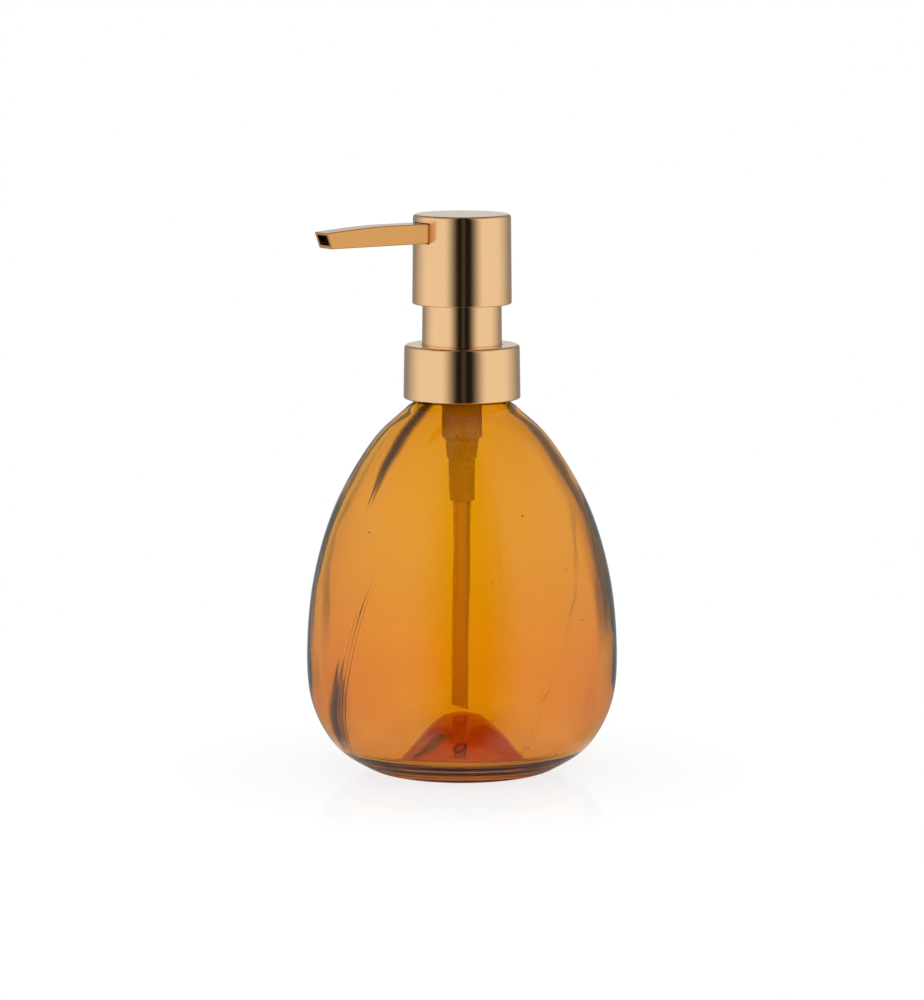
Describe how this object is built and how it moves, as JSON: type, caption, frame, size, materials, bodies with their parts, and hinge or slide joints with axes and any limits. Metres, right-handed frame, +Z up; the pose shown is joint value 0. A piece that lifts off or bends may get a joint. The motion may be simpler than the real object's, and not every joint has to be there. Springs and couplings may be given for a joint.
{
  "type": "soap pump dispenser",
  "caption": "Egg-shaped amber glass bottle with a copper-coloured screw-on lotion pump: press the head to draw liquid soap through the spout.",
  "frame": {"origin": "centre of the standing ring under the bottle, on the surface it stands on", "axes": "+Z up along the common axis of bottle and pump; -X along the spout; the pump at rest with its head fully up and its closure screwed home"},
  "size_m": [0.0904, 0.0882, 0.1583],
  "materials": {
    "amber_glass": "glossy, transparent amber",
    "copper_metal": "polished copper-coloured plating",
    "white_plastic": "moulded, slightly glossy",
    "natural_plastic": "translucent natural polypropylene",
    "soft_gasket": "soft foamed polyethylene",
    "soft_seal": "soft polyethylene",
    "steel_ball": "polished stainless steel",
    "spring_steel": "drawn stainless wire"
  },
  "bodies": {
    "bottle": {"glass_bottle": "amber_glass"},
    "gasket": {"neck_gasket": "soft_gasket"},
    "pump_body": {"pump_housing": "natural_plastic", "retainer": "white_plastic", "valve_cage": "natural_plastic", "dip_tube": "natural_plastic", "return_spring": "spring_steel"},
    "closure": {"closure_liner": "white_plastic", "collar_shell": "copper_metal", "neck_sleeve": "copper_metal"},
    "plunger": {"piston_seal": "soft_seal", "cup_washer": "white_plastic"},
    "head": {"head_shell": "copper_metal", "head_core": "white_plastic", "spout": "copper_metal", "nozzle_liner": "white_plastic", "stem": "white_plastic", "plunger_core": "white_plastic"},
    "inlet_ball": {"inlet_ball": "steel_ball"},
    "outlet_ball": {"outlet_ball": "steel_ball"}
  },
  "joints": [
    {"name": "pump_lift_out", "type": "slide", "parent": "bottle", "child": "gasket", "axis": [0, 0, 1], "range_m": [0, 0.108]},
    {"name": "pump_rise", "type": "slide", "parent": "gasket", "child": "pump_body", "axis": [0, 0, 1], "range_m": [0, 0.0053]},
    {"name": "closure_unscrew", "type": "hinge", "parent": "pump_body", "child": "closure", "pos_m": [0, 0, 0.112], "axis": [0, 0, 1], "range_deg": [0, 450]},
    {"name": "head_press", "type": "slide", "parent": "pump_body", "child": "plunger", "axis": [0, 0, -1], "range_m": [0, 0.011], "stiffness_N_per_m": 700, "springref_m": -0.01, "deforming": ["return_spring"]},
    {"name": "head_swivel", "type": "hinge", "parent": "plunger", "child": "head", "pos_m": [0, 0, 0.145], "axis": [0, 0, 1], "continuous": true},
    {"name": "inlet_ball_lift", "type": "slide", "parent": "pump_body", "child": "inlet_ball", "axis": [0, 0, 1], "range_m": [0, 0.0012]},
    {"name": "outlet_ball_lift", "type": "slide", "parent": "head", "child": "outlet_ball", "axis": [0, 0, 1], "range_m": [0, 0.0012]}
  ],
  "couplings": [
    {"joint": "pump_rise", "follows": "closure_unscrew", "m_per_rad": 0.00067322}
  ]
}
